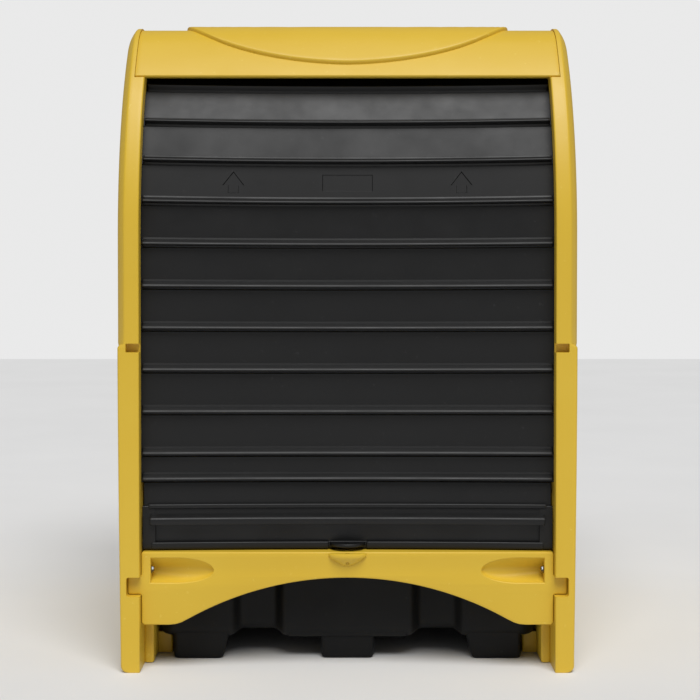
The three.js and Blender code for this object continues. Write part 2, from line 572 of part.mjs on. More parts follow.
[['left', -1], ['right', 1]].forEach(([word, side]) => {
  const head = [BOLT.head, BOLT.height];
  const skirtBolt = fastener(...head, SKIRT_BOLT.shank, SKIRT_BOLT.length, 12).rotateX(side > 0 ? Math.PI : 0);
  addNode(`skirt_bolt_${word}`, place(skirtBolt, 'x',
    [side * (POCKET.outer - GAP), SKIRT_BOLT.d - DEPTH / 2, SKIRT_BOLT.z]), STEEL);
  REAR_BOLT_Z.forEach((z, i) => addNode(`rear_bolt_${word}_${i + 1}`, place(
    fastener(...head, BOLT.shank, BOLT.length, 12).rotateX(Math.PI), 'y',
    [side * REAR_BOLT_X, DEPTH / 2 - 15.5, z]), STEEL));
  ROOF_BOLT_D.forEach((d, i) => addNode(`roof_bolt_${word}_${i + 1}`, place(
    fastener(...head, BOLT.shank, BOLT.length, 12), 'z',
    [side * REAR_BOLT_X, d - DEPTH / 2, ROOF_TOP - 12.5]), STEEL));
});

export default shelter;
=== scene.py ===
"""Looks for the hard-cover spill containment pallet: a yellow moulded shell with a black
ribbed roll-up door over a black sump pallet. Metres; "depth" runs rearward from the shell's
front plane, "inset" runs from the shell's side outline toward its inside."""

import math

import bpy
from mathutils import Matrix, Vector


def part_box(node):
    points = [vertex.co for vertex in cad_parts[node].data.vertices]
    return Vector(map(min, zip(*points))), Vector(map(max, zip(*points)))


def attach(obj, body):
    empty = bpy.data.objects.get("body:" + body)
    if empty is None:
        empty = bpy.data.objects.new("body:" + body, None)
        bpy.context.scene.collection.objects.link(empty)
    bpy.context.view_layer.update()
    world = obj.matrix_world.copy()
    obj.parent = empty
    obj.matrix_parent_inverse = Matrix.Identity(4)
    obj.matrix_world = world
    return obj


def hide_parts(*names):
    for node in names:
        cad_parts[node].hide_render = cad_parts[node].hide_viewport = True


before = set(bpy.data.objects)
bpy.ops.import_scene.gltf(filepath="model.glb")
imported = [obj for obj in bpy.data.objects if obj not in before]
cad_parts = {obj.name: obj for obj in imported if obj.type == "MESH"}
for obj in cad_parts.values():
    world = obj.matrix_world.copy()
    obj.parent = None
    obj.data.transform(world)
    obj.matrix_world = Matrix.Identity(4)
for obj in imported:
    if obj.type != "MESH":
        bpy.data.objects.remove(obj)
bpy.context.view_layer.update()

# ------------------------------------------------------------------ sizes from the frame
SIDE_LOW, SIDE_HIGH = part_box("side_panel_right")
FRONT_Y, REAR_Y = SIDE_LOW.y, SIDE_HIGH.y
DEPTH = REAR_Y - FRONT_Y
RIM_RISE = 0.003                  # the side panels' rims stand this far above the roof
ROOF_FLAT = SIDE_HIGH.z - RIM_RISE
SKIRT_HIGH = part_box("front_skirt")[1]
PALLET_LOW, PALLET_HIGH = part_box("sump_pallet")

# The shell's side outline: straight front, two arcs, flat roof, rear corner.
STRAIGHT, FRONT_R, SWEEP = 1.400, 1.000, math.radians(42)
CREST_R, REAR_R = 0.1843, 0.170
RING = 0.110                      # the panel's border zone reaches this far inside

# Side panels.
INNER_X, OUTER_X, BEVEL_X, UPPER_X = 0.6725, 0.735, 0.7205, 0.7475
LEDGE_Z = 1.060                   # above it the panel swells and its front edge is bevelled
FOOT_R = 0.021                    # rounding of the panels' lower outer corners
SWELL, BEVEL_REACH = 0.008, 0.055
FIELD_DEPTH, FIELD_BORDER, FIELD_EDGE = 0.009, (0.084, 0.100), 0.018
LOW_FIELD, HIGH_FIELD = (0.130, 0.984), 1.120   # heights where the fields' sloping edges start
NOTCH_LOW, NOTCH_HIGH, NOTCH_X, NOTCH_DEPTH = 1.038, 1.067, 0.716, 0.034
SLOT_X, SLOT_OUT, SLOT_IN = 0.704, 0.0175, 0.0225
SEAM_X = 0.7064                   # the roof and the rear panel reach this far to the side
CUT_X = 0.655                     # cuts into a side panel's inner face start here
OUTER_INSETS = [0.0, 0.0004, 0.0012, 0.0025, 0.004, 0.0065, 0.009, 0.016, 0.026, 0.036, 0.046, 0.055,
                0.068, 0.082, 0.087, 0.092, 0.097, 0.102, RING]
INNER_INSETS = [RING, 0.07, 0.05, 0.03, 0.012, 0.006, 0.004, 0.002, 0.0008, 0.0]
BOLT_X, ROOF_BOLT_DEPTHS, REAR_BOLT_HEIGHTS = 0.688, (0.560, 1.180), (0.420, 1.560)

# The stepped wall inside each side panel follows the door's track; arc lengths along it.
STEP_INSET = 0.058
STEP_STOPS = (0.0, 1.003, 1.1, 1.2, 1.3, 1.4, 1.49, 1.56, 1.62, 1.68, 1.74, 1.80, 1.858,
              2.594, 2.65, 2.70, 2.75, 2.80, 2.85, 2.908)

# The door's track and the door on it.
TRACK_IN, TRACK_START, TRACK_END = 0.066, 0.397, 3.26
TRACK_SWEEP, TRACK_CREST_R = math.radians(30), 0.350
TRACK_REAR, TRACK_REAR_R = 1.230, 0.200
PANEL_LENGTH, SHORT_SLAT, PITCH, SLATS = 0.212, 0.084, 0.137, 13
RIB_HALF, WEB_HALF, WEB = 0.6700, 0.6935, 0.005
RIB_MID = 0.0172                  # a rib's middle above its slat's lower edge
PANEL_HANG = 0.0075               # the bottom panel's relief sits this far below its track position
ARROW_SLAT, ARROW_X = 8, 0.374

# Roof.
HEADER_Z, ROOF_REAR_Z, ROOF_WALL, ROOF_IN, ROOF_HALF = 1.9425, 1.900, 0.035, 0.003, 0.7058
CROWN_HALF, CROWN_RISE, CROWN_LIFT = 0.559, 0.013, 0.004
CROWN_FRONT, CROWN_BACK, CROWN_BOW = 0.249, 0.060, (1.8, 0.42)

# Skirt: its front face, its tabs, its pockets and the padlock hole's place.
SKIRT_DEPTH = 0.032
TAB_X, TAB_LOW, TAB_HIGH, TAB_PLAY = 0.7150, 0.2480, 0.3080, 0.0015
POCKET_LOW, POCKET_HIGH, POCKET_STRAIGHT = 0.286, 0.366, 0.560
PADLOCK_R, PADLOCK_DEPTH = 0.0065, 0.021

# Pallet.
UNDER, SUMP_FLOOR, PALLET_WALL = 0.089, 0.103, 0.008
BAY_DEPTH, BAY_TOP, BAY_IN, BAY_OUT, BAY_DRAFT = 0.043, 0.266, 0.206, 0.394, 0.044
FOOT_ROWS = [(0.168, 0.460), (0.660, 0.960), (1.160, 1.452)]

SMOOTH = 35                       # degrees; sharper edges than this stay sharp
SHARP = 40                        # the same for the black mouldings and the pocket floors


# ------------------------------------------------------------------------- mesh helpers
def linked(name, data):
    """A new object with this data, put into the scene."""
    obj = bpy.data.objects.new(name, data)
    bpy.context.scene.collection.objects.link(obj)
    return obj


def mesh_object(name, verts, faces, material, angle=SMOOTH):
    data = bpy.data.meshes.new(name)
    data.from_pydata([tuple(v) for v in verts], [], faces)
    data.validate()
    data.materials.append(material)
    obj = linked(name, data)
    finish_mesh(obj, angle)
    return obj


def finish_mesh(obj, angle=SMOOTH):
    bpy.context.view_layer.objects.active = obj
    bpy.ops.object.select_all(action="DESELECT")
    obj.select_set(True)
    bpy.ops.object.mode_set(mode="EDIT")
    bpy.ops.mesh.select_all(action="SELECT")
    bpy.ops.mesh.remove_doubles(threshold=2e-6)
    bpy.ops.mesh.normals_make_consistent(inside=False)
    bpy.ops.object.mode_set(mode="OBJECT")
    shade_smooth(obj, angle)


def shade_smooth(obj, angle=SMOOTH):
    obj.data.polygons.foreach_set("use_smooth", [True] * len(obj.data.polygons))
    obj.data.set_sharp_from_angle(angle=math.radians(angle))


class Builder:
    """Collects closed shells into one mesh."""

    def __init__(self):
        self.verts, self.faces = [], []

    def grid(self, rows, wrap=False, ends=False):
        """Quads between rows of points; wrap closes each row, ends caps the first and last."""
        base, width = len(self.verts), len(rows[0])
        for row in rows:
            self.verts.extend(row)
        for i in range(len(rows) - 1):
            for j in range(width if wrap else width - 1):
                a, b = base + i * width + j, base + i * width + (j + 1) % width
                self.faces.append((a, b, b + width, a + width))
        if ends:
            self.faces.append(tuple(range(base, base + width)))
            last = base + (len(rows) - 1) * width
            self.faces.append(tuple(range(last, last + width)))

    def solid(self, rows):
        self.grid(rows, wrap=True, ends=True)

    def polygon(self, points):
        base = len(self.verts)
        self.verts.extend(points)
        self.faces.append(tuple(range(base, base + len(points))))

    def object(self, name, material, angle=SMOOTH):
        return mesh_object(name, self.verts, self.faces, material, angle)


def step(value, low, high):
    t = min(max((value - low) / (high - low), 0.0), 1.0)
    return t * t * (3 - 2 * t)


def spread(low, high, count):
    return [low + (high - low) * i / (count - 1) for i in range(count)]


def rounding(inset, reach, drop):
    """How far an edge rounded over a reach has fallen at an inset from the edge."""
    return drop * (1 - math.sqrt(max(0.0, 1 - (1 - min(inset / reach, 1.0)) ** 2)))


def arc_points(cx, cy, radius, start, end, count):
    """Points on a circle from one angle to another, both in degrees and both included."""
    return [(cx + radius * math.cos(math.radians(a)), cy + radius * math.sin(math.radians(a)))
            for a in spread(start, end, count)]


def circle(cx, cy, radius, count):
    return arc_points(cx, cy, radius, 0, 360 * (count - 1) / count, count)


def half_oval(half, front, reach, count=36):
    """The rim of a half disc seen from above: along its curved side from +x to -x."""
    angles = [math.pi * i / count for i in range(count + 1)]
    return [(half * math.cos(a), front + reach * math.sin(a)) for a in angles]


def ring(x0, x1, y0, y1, radius, corner=6, extra=()):
    """Anticlockwise rounded rectangle; extra x positions are added along the two long edges."""
    points = []
    corners = ((x1 - radius, y1 - radius, 0), (x0 + radius, y1 - radius, 90),
               (x0 + radius, y0 + radius, 180), (x1 - radius, y0 + radius, 270))
    for cx, cy, start in corners:
        points.extend(arc_points(cx, cy, radius, start, start + 90, corner + 1))
        if start == 0:
            points.extend((x, y1) for x in sorted(extra, reverse=True))
        if start == 180:
            points.extend((x, y0) for x in sorted(extra))
    return points


def round_block(build, low, high, corner, edge):
    """A block with rounded upright corners and rounded top and bottom edges."""
    (x0, y0, z0), (x1, y1, z1) = low, high
    angles = [math.radians(30 * k) for k in range(4)]
    levels = [(z0 + edge * (1 - math.cos(a)), edge * (1 - math.sin(a))) for a in angles]
    levels += [(z1 + z0 - z, inset) for z, inset in reversed(levels)]
    rows = []
    for z, inset in levels:
        outline = ring(x0 + inset, x1 - inset, y0 + inset, y1 - inset, max(corner - inset, 1e-4))
        rows.append([(x, y, z) for x, y in outline])
    build.solid(rows)


def upright(depth_y):
    """Places a plate drawn in (x, z) as an upright wall in the plane at this y."""
    return Matrix(((1, 0, 0, 0), (0, 0, -1, depth_y), (0, 1, 0, 0), (0, 0, 0, 1)))


def sideways(x):
    """Places a plate drawn in (depth, z) parallel to the side panels at this x."""
    return Matrix(((0, 0, 1, x), (1, 0, 0, FRONT_Y), (0, 1, 0, 0), (0, 0, 0, 1)))


def flat_plate(name, outline, holes, thickness, bevel, matrix, material, resolution=3):
    """A flat plate with rounded edges, from a closed 2D outline and holes, then placed by matrix."""
    curve = bpy.data.curves.new(name, "CURVE")
    curve.dimensions, curve.fill_mode = "2D", "BOTH"
    for loop in [outline, *holes]:
        spline = curve.splines.new("POLY")
        spline.points.add(len(loop) - 1)
        for point, (x, y) in zip(spline.points, loop):
            point.co = (x, y, 0, 1)
        spline.use_cyclic_u = True
    curve.bevel_depth, curve.bevel_resolution = bevel, resolution
    curve.extrude = thickness / 2 - bevel
    curve.offset = -bevel
    temp = linked(name + "_curve", curve)
    bpy.context.view_layer.update()
    data = bpy.data.meshes.new_from_object(temp.evaluated_get(bpy.context.evaluated_depsgraph_get()))
    bpy.data.objects.remove(temp)
    data.name = name
    data.transform(matrix)
    data.materials.clear()
    data.materials.append(material)
    obj = linked(name, data)
    finish_mesh(obj)
    return obj


def join(objects, name):
    bpy.ops.object.select_all(action="DESELECT")
    for obj in objects:
        obj.select_set(True)
    bpy.context.view_layer.objects.active = objects[0]
    bpy.ops.object.join()
    objects[0].name = name
    objects[0].data.set_sharp_from_angle(angle=math.radians(SMOOTH))
    return objects[0]


def carve(obj, tool_mesh):
    """Cuts the closed shells of a builder out of obj."""
    tool = tool_mesh.object("cutter", obj.data.materials[0])
    modifier = obj.modifiers.new("cut", "BOOLEAN")
    modifier.operation, modifier.solver, modifier.object = "DIFFERENCE", "EXACT", tool
    bpy.context.view_layer.objects.active = obj
    bpy.ops.object.modifier_apply(modifier=modifier.name)
    bpy.data.objects.remove(tool)
    shade_smooth(obj)


def carve_prism(obj, rows):
    tool_mesh = Builder()
    tool_mesh.solid(rows)
    carve(obj, tool_mesh)


def carve_block(obj, low, high, corner, edge):
    """Cuts out a rounded block; its two x limits may come in either order."""
    tool_mesh = Builder()
    x0, x1 = sorted((low[0], high[0]))
    round_block(tool_mesh, (x0, *low[1:]), (x1, *high[1:]), corner, edge)
    carve(obj, tool_mesh)


def adopt(obj, body, nodes):
    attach(obj, body)
    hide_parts(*nodes)


# ---------------------------------------------------------------------------- materials
def new_material(name):
    material = bpy.data.materials.new(name)
    material.use_nodes = True
    nodes, links = material.node_tree.nodes, material.node_tree.links
    return material, nodes, links, nodes["Principled BSDF"]


def noise_node(nodes, links, scale, detail=4.0, stretch=(1, 1, 1), roughness=0.55):
    coords = nodes.new("ShaderNodeTexCoord")
    mapping = nodes.new("ShaderNodeMapping")
    mapping.inputs["Scale"].default_value = stretch
    texture = nodes.new("ShaderNodeTexNoise")
    texture.inputs["Scale"].default_value = scale
    texture.inputs["Detail"].default_value = detail
    texture.inputs["Roughness"].default_value = roughness
    links.new(coords.outputs["Object"], mapping.inputs["Vector"])
    links.new(mapping.outputs["Vector"], texture.inputs["Vector"])
    return texture.outputs["Fac"]


def ramp_node(nodes, links, source, stops):
    ramp = nodes.new("ShaderNodeValToRGB")
    ramp.color_ramp.elements[0].position, ramp.color_ramp.elements[0].color = stops[0]
    ramp.color_ramp.elements[1].position, ramp.color_ramp.elements[1].color = stops[-1]
    for position, color in stops[1:-1]:
        ramp.color_ramp.elements.new(position).color = color
    links.new(source, ramp.inputs["Fac"])
    return ramp.outputs["Color"]


def mix_node(nodes, links, factor, a, b, blend="MIX"):
    mix = nodes.new("ShaderNodeMix")
    mix.data_type, mix.blend_type = "RGBA", blend
    if isinstance(factor, float):
        mix.inputs["Factor"].default_value = factor
    else:
        links.new(factor, mix.inputs["Factor"])
    for socket, value in ((mix.inputs[6], a), (mix.inputs[7], b)):
        if isinstance(value, tuple):
            socket.default_value = value
        else:
            links.new(value, socket)
    return mix.outputs[2]


def bump_node(nodes, links, height, distance, strength, normal=None):
    bump = nodes.new("ShaderNodeBump")
    bump.inputs["Strength"].default_value = strength
    bump.inputs["Distance"].default_value = distance
    links.new(height, bump.inputs["Height"])
    if normal is not None:
        links.new(normal, bump.inputs["Normal"])
    return bump.outputs["Normal"]


def value_ramp(nodes, links, source, low, high):
    span = nodes.new("ShaderNodeMapRange")
    span.inputs["From Min"].default_value = 0.3
    span.inputs["From Max"].default_value = 0.7
    span.inputs["To Min"].default_value = low
    span.inputs["To Max"].default_value = high
    links.new(source, span.inputs["Value"])
    return span.outputs["Result"]


def moulded_plastic(name, base, shade, tint, rough, grain, wave, scuff, gloss):
    """Rotomoulded polyethylene: slightly blotched colour, satin sheen, faint orange peel,
    a slow waviness of the wall, and pale hairline scuffs."""
    material, nodes, links, shader = new_material(name)
    cloud = noise_node(nodes, links, 2.2, 3.0)
    mottle = ramp_node(nodes, links, cloud, [(0.3, shade), (0.55, base), (0.8, tint)])
    speck = noise_node(nodes, links, 55.0, 5.0)
    speck_mask = ramp_node(nodes, links, speck, [(0.66, (0, 0, 0, 1)), (0.80, (1, 1, 1, 1))])
    dusted = mix_node(nodes, links, speck_mask, mottle, scuff)
    hair = noise_node(nodes, links, 14.0, 8.0, (1.0, 1.0, 22.0), 0.7)
    hair_mask = ramp_node(nodes, links, hair, [(0.66, (0, 0, 0, 1)), (0.74, (0.3, 0.3, 0.3, 1))])
    color = mix_node(nodes, links, hair_mask, dusted, scuff)
    links.new(color, shader.inputs["Base Color"])
    links.new(value_ramp(nodes, links, noise_node(nodes, links, 7.0, 5.0), rough - 0.05, rough + 0.07),
              shader.inputs["Roughness"])
    slow = bump_node(nodes, links, noise_node(nodes, links, 1.7, 2.0), 0.05, wave)
    fine = bump_node(nodes, links, noise_node(nodes, links, 420.0, 2.0), 0.0006, grain, slow)
    links.new(fine, shader.inputs["Normal"])
    shader.inputs["IOR"].default_value = 1.5
    shader.inputs["Specular IOR Level"].default_value = gloss
    return material


YELLOW = moulded_plastic("yellow_polyethylene", (0.708, 0.468, 0.037, 1), (0.693, 0.450, 0.033, 1),
                         (0.722, 0.486, 0.044, 1), 0.42, 0.16, 0.05, (0.79, 0.58, 0.10, 1), 0.42)
BLACK = moulded_plastic("black_polyethylene", (0.0038, 0.0039, 0.0041, 1), (0.0030, 0.0031, 0.0033, 1),
                        (0.0052, 0.0053, 0.0055, 1), 0.46, 0.22, 0.05, (0.022, 0.022, 0.023, 1), 0.42)
PALLET = moulded_plastic("pallet_polyethylene", (0.0042, 0.0043, 0.0044, 1), (0.0034, 0.0035, 0.0036, 1),
                         (0.0056, 0.0057, 0.0058, 1), 0.50, 0.3, 0.05, (0.018, 0.018, 0.018, 1), 0.20)


def zinc():
    material, nodes, links, shader = new_material("zinc_plated_steel")
    tone = ramp_node(nodes, links, noise_node(nodes, links, 60.0, 4.0),
                     [(0.3, (0.10, 0.105, 0.11, 1)), (0.7, (0.17, 0.175, 0.18, 1))])
    links.new(tone, shader.inputs["Base Color"])
    shader.inputs["Metallic"].default_value = 0.95
    links.new(value_ramp(nodes, links, noise_node(nodes, links, 90.0, 3.0), 0.22, 0.38),
              shader.inputs["Roughness"])
    return material


ZINC = zinc()


# ------------------------------------------------------------------- the side outline
class Station:
    """A point on the shell's side outline with its inward direction, both as (depth, z)."""

    def __init__(self, d, z, nd, nz):
        self.d, self.z, self.nd, self.nz = d, z, nd, nz

    def at(self, inset):
        return self.d + inset * self.nd, self.z + inset * self.nz


def crest_centre():
    reach = FRONT_R - CREST_R
    return FRONT_R - reach * math.cos(SWEEP), STRAIGHT + reach * math.sin(SWEEP)


CREST_D, CREST_Z = crest_centre()
TOP = CREST_Z + CREST_R


def arc_station(cd, cz, radius, angle, side):
    """side is -1 on the front arcs and 1 on the rear corner; angle is above horizontal."""
    nd, nz = -side * math.cos(angle), -math.sin(angle)
    return Station(cd - radius * nd, cz - radius * nz, nd, nz)


def front_station(z_ring, inset=RING):
    """The front station whose point at that inset has this height."""
    low_r = FRONT_R - inset
    if z_ring <= STRAIGHT:
        return Station(0.0, z_ring, 1.0, 0.0)
    if z_ring <= STRAIGHT + low_r * math.sin(SWEEP):
        return arc_station(FRONT_R, STRAIGHT, FRONT_R, math.asin((z_ring - STRAIGHT) / low_r), -1)
    angle = math.asin(min((z_ring - CREST_Z) / (CREST_R - inset), 1.0))
    return arc_station(CREST_D, CREST_Z, CREST_R, angle, -1)


def rear_station(z_ring, inset=RING):
    centre = TOP - REAR_R
    if z_ring <= centre:
        return Station(DEPTH, z_ring, -1.0, 0.0)
    angle = math.asin(min((z_ring - centre) / (REAR_R - inset), 1.0))
    return arc_station(DEPTH - REAR_R, centre, REAR_R, angle, 1)


def ring_levels():
    """Heights of the border's inner ring: even on the walls, close together on the bends."""
    levels = {0.0, 0.0007, 0.0025, 0.0055, 0.009, 0.014, 0.021, 0.035, 0.06, 1.020}
    for start in (*LOW_FIELD, HIGH_FIELD):
        levels |= {round(start + FIELD_EDGE * k / 3, 4) for k in range(4)}
    levels |= {round(LEDGE_Z + 0.004 * k, 4) for k in range(-2, 3)}
    levels |= {round(0.2 + 0.075 * k, 4) for k in range(16)}
    levels |= {STRAIGHT + (FRONT_R - RING) * math.sin(SWEEP * k / 16) for k in range(17)}
    crest = [SWEEP + (math.pi / 2 - SWEEP) * k / 9 for k in range(1, 10)]
    levels |= {CREST_Z + (CREST_R - RING) * math.sin(angle) for angle in crest}
    levels |= {TOP - REAR_R + (REAR_R - RING) * math.sin(math.radians(7 * k)) for k in range(6)}
    return sorted(levels)


# ----------------------------------------------------------------------- side panels
def outer_x(inset, z):
    """Outer face of a side panel: plain and gently swollen low down; above the ledge the
    front edge is bevelled and the wall stands further out. Shallow fields are sunk in it."""
    bow = SWELL * math.sin(math.pi * min(max((z - 0.05) / 2.1, 0), 1))
    low = OUTER_X + bow - rounding(inset, 0.009, 0.007)
    bevel = 1 - (1 - min(inset / BEVEL_REACH, 1.0)) ** 1.7
    high = BEVEL_X + (UPPER_X - BEVEL_X) * bevel - rounding(inset, 0.004, 0.004)
    upper = step(z, LEDGE_Z - 0.006, LEDGE_Z + 0.006)
    foot = rounding(max(z, 0.0), FOOT_R, FOOT_R)
    starts, ends, high_starts = [step(z, start, start + FIELD_EDGE) for start in (*LOW_FIELD, HIGH_FIELD)]
    field = step(inset, *FIELD_BORDER) * (starts * (1 - ends) + high_starts)
    return low + (high - low) * upper - foot - FIELD_DEPTH * field


def inner_x(inset):
    return INNER_X + rounding(inset, 0.006, 0.005)


def side_panel(side, word):
    levels = ring_levels()
    front = [front_station(z) for z in levels]
    rear = [rear_station(z) for z in levels]
    top = [Station(d, TOP, 0.0, -1.0) for d in spread(CREST_D, DEPTH - REAR_R, 25)[1:-1]]
    build = Builder()

    def point(x, d, z):
        return (side * x, FRONT_Y + d, z)

    def rim_point(x, station, inset):
        d, z = station.at(inset)
        return point(x, d, z - RIM_RISE * station.nz)

    def section(station):
        """From the inner face's ring over the panel's edge to the outer face's ring."""
        row = [rim_point(inner_x(inset), station, inset) for inset in INNER_INSETS]
        edge = spread(inner_x(0.0), outer_x(0.0, station.z), 5)[1:-1]
        row += [rim_point(x, station, 0.0) for x in edge]
        row += [rim_point(outer_x(inset, station.at(inset)[1]), station, inset) for inset in OUTER_INSETS]
        return row

    build.grid([section(s) for s in front + top + rear[::-1]])
    # Middle of both faces: rows from the front ring to the rear ring, up to the top ring.
    columns = 25
    for face in (lambda z: outer_x(RING, z), lambda z: inner_x(RING)):
        rows = []
        for z, fore, aft in zip(levels, front, rear):
            line = spread(fore.at(RING)[0], aft.at(RING)[0], columns)
            if z == levels[-1]:
                line = [s.at(RING)[0] for s in [fore, *top, aft]]
            rows.append([point(face(z), d, z - RIM_RISE * fore.nz) for d in line])
        build.grid(rows)
    # Underside.
    outer_line = [point(outer_x(RING, 0), d, 0.0) for d in spread(RING, DEPTH - RING, columns)]
    inner_line = [point(inner_x(RING), d, 0.0) for d in spread(DEPTH - RING, RING, columns)]
    build.polygon(section(front[0]) + outer_line[1:-1] + section(rear[0])[::-1] + inner_line[1:-1])
    panel = build.object(f"side_panel_{word}", YELLOW)

    # The strap notch and the place of the skirt's tab, both open to the front.
    ahead = FRONT_Y - 0.03
    carve_block(panel, (side * CUT_X, ahead, NOTCH_LOW),
                (side * NOTCH_X, FRONT_Y + NOTCH_DEPTH, NOTCH_HIGH), 0.003, 0.003)
    carve_block(panel, (side * CUT_X, ahead, TAB_LOW - TAB_PLAY),
                (side * (TAB_X + TAB_PLAY), FRONT_Y + 0.068, TAB_HIGH + TAB_PLAY), 0.004, 0.008)

    # The slot that guides the door's strips, then the seats of the roof and the rear panel.
    path = spread(-0.007, TRACK_END, 90)
    rim = [track_offset(s, -SLOT_OUT) for s in path] + [track_offset(s, SLOT_IN) for s in reversed(path)]
    carve_prism(panel, [[point(x, d, z) for d, z in rim] for x in (CUT_X, SLOT_X)])
    ends = (HEADER_Z - 0.0005, ROOF_REAR_Z)
    rim = outline_at(-0.020, *ends) + outline_at(0.0385, *ends)[::-1]
    carve_prism(panel, [[point(x, d, z) for d, z in rim] for x in (CUT_X, SEAM_X)])
    carve_block(panel, (side * CUT_X, REAR_Y - 0.0425, 0.0595),
                (side * SEAM_X, REAR_Y + 0.03, 1.909), 0.001, 0.001)

    # Stepped inner wall beside the pallet and the low foot under its shoulder.
    def plate(name, outline, x0, x1, bevel):
        return flat_plate(name, outline, [], x1 - x0, bevel, sideways(side * (x0 + x1) / 2), YELLOW)

    low = 0.002
    line = [track_offset(s, STEP_INSET) for s in STEP_STOPS]
    outline = [(line[0][0], low), *line, (line[-1][0], low)][::-1]
    step_wall = plate(f"step_{word}", outline, 0.642, 0.6735, 0.006)
    outline = [(0.255, low), (1.40, low), (1.40, 0.072), (0.255, 0.072)]
    foot = plate(f"foot_{word}", outline, 0.594, 0.648, 0.008)
    obj = join([panel, step_wall, foot], f"side_panel_{word}_moulded")
    adopt(obj, "shell", [f"side_panel_{word}"])


# ------------------------------------------------------------------------- door track
def track(s):
    """(depth, z, turn) at an arc length along the track; turn is 0 going up, 90 degrees
    going rearward."""
    low_r = FRONT_R - TRACK_IN
    lengths = (STRAIGHT - TRACK_START, low_r * TRACK_SWEEP, TRACK_CREST_R * (math.pi / 2 - TRACK_SWEEP))
    bend = (FRONT_R - low_r * math.cos(TRACK_SWEEP), STRAIGHT + low_r * math.sin(TRACK_SWEEP))
    centre = (bend[0] + TRACK_CREST_R * math.cos(TRACK_SWEEP),
              bend[1] - TRACK_CREST_R * math.sin(TRACK_SWEEP))
    top = centre[1] + TRACK_CREST_R
    if s <= lengths[0]:
        return TRACK_IN, TRACK_START + s, 0.0
    s -= lengths[0]
    if s <= lengths[1]:
        t = s / low_r
        return FRONT_R - low_r * math.cos(t), STRAIGHT + low_r * math.sin(t), t
    s -= lengths[1]
    if s <= lengths[2]:
        t = TRACK_SWEEP + s / TRACK_CREST_R
        return centre[0] - TRACK_CREST_R * math.cos(t), centre[1] + TRACK_CREST_R * math.sin(t), t
    s -= lengths[2]
    if s <= TRACK_REAR - centre[0]:
        return centre[0] + s, top, math.pi / 2
    s -= TRACK_REAR - centre[0]
    t = min(s / TRACK_REAR_R, math.pi / 2)
    rest = max(s - TRACK_REAR_R * math.pi / 2, 0.0)
    return (TRACK_REAR + TRACK_REAR_R * math.sin(t), top - TRACK_REAR_R * (1 - math.cos(t)) - rest,
            math.pi / 2 + t)


def track_offset(s, inset):
    d, z, turn = track(s)
    return d + inset * math.cos(turn), z - inset * math.sin(turn)


def on_track(s0, s1):
    """Maps (x, out, up) in a strip's own plane onto the closed door."""
    a, b = track(s0), track(s1)
    turn = math.atan2(b[0] - a[0], b[1] - a[1])
    d, z = (a[0] + b[0]) / 2, (a[1] + b[1]) / 2

    def place(x, out, up):
        return (x, FRONT_Y + d - out * math.cos(turn) + up * math.sin(turn),
                z + out * math.sin(turn) + up * math.cos(turn))

    return place


# ------------------------------------------------------------------------------- door
def sagged(x, out, up, s):
    """The curtain is bowed toward the inside and sags a little between its guides."""
    t = max(0.0, 1 - (x / 0.69) ** 2)
    high = min(s / 1.5, 1.0)
    return x, out - (0.023 - 0.017 * high ** 2) * t, up - 0.0042 * math.sin(math.pi / 2 * high) * t


def tapered(section, centre, xs, scales, place):
    """Rows of an (out, up) section along x, each shrunk toward the centre by its own scale."""
    co, cu = centre
    return [[place(x, co + (out - co) * k, cu + (up - cu) * k) for out, up in section]
            for x, k in zip(xs, scales)]


def rib_section(mid):
    """(out, up) loop of a rib: a low step, a ledge sloping to a hanging nose, an undercut."""
    loop = [(0.000, 0.0165), (0.0030, 0.0158), (0.0044, 0.0146), (0.0056, 0.0095), (0.0120, 0.0060),
            (0.0190, 0.0012), (0.0214, -0.0006), (0.0236, -0.0032), (0.0247, -0.0054), (0.0250, -0.0072),
            (0.0244, -0.0090), (0.0228, -0.0098), (0.0120, -0.0106), (0.0064, -0.0118), (0.0044, -0.0145),
            (0.0026, -0.0162), (0.000, -0.0166)]
    return [(out, mid + up) for out, up in loop]


def slat(index, s0, s1):
    place = on_track(s0, s1)
    middle = (s0 + s1) / 2

    def bent(x, out, up):
        return place(*sagged(x, out, up, middle + up))

    high = (s1 - s0) / 2 - 0.0006
    low = -high
    ups = [low, low + 0.001, *spread(low + 0.01, high - 0.01, 5), high - 0.001, high]
    edge, half = WEB / 2 - 0.001, WEB / 2
    outs = [edge] + [half] * (len(ups) - 2) + [edge]
    loop = list(zip(outs, ups)) + [(-out, up) for out, up in zip(outs, ups)][::-1]
    xs = spread(-WEB_HALF, WEB_HALF, 57)
    build = Builder()
    build.solid([[bent(x, out, up) for out, up in loop] for x in xs])
    web = build.object("web", BLACK, SHARP)
    if index == ARROW_SLAT:
        for outline, depth in ((arrow(-ARROW_X), 0.0034), (arrow(ARROW_X), 0.0034), (blank_plate(), 0.0022)):
            sink(web, bent, outline, depth)

    mid = low + RIB_MID
    ends, shrink = [0.0, 0.0008, 0.0025, 0.006], [0.80, 0.91, 0.98, 1.0]
    inner = spread(-RIB_HALF + 0.012, RIB_HALF - 0.012, 49)
    xs = [-RIB_HALF + e for e in ends] + inner + [RIB_HALF - e for e in reversed(ends)]
    scales = shrink + [1.0] * len(inner) + shrink[::-1]
    build = Builder()
    build.solid(tapered(rib_section(mid), (0.0, mid), xs, scales, bent))
    obj = join([web, build.object("rib", BLACK, SHARP)], f"door_slat_{index:02d}_moulded")
    adopt(obj, f"slat_{index:02d}", [f"door_slat_{index:02d}"])


def subdivided(corners, parts):
    """The closed outline with every edge cut into equal parts, so that it can follow the bow."""
    return [(x0 + (x1 - x0) * k / parts, y0 + (y1 - y0) * k / parts)
            for (x0, y0), (x1, y1) in zip(corners, corners[1:] + corners[:1]) for k in range(parts)]


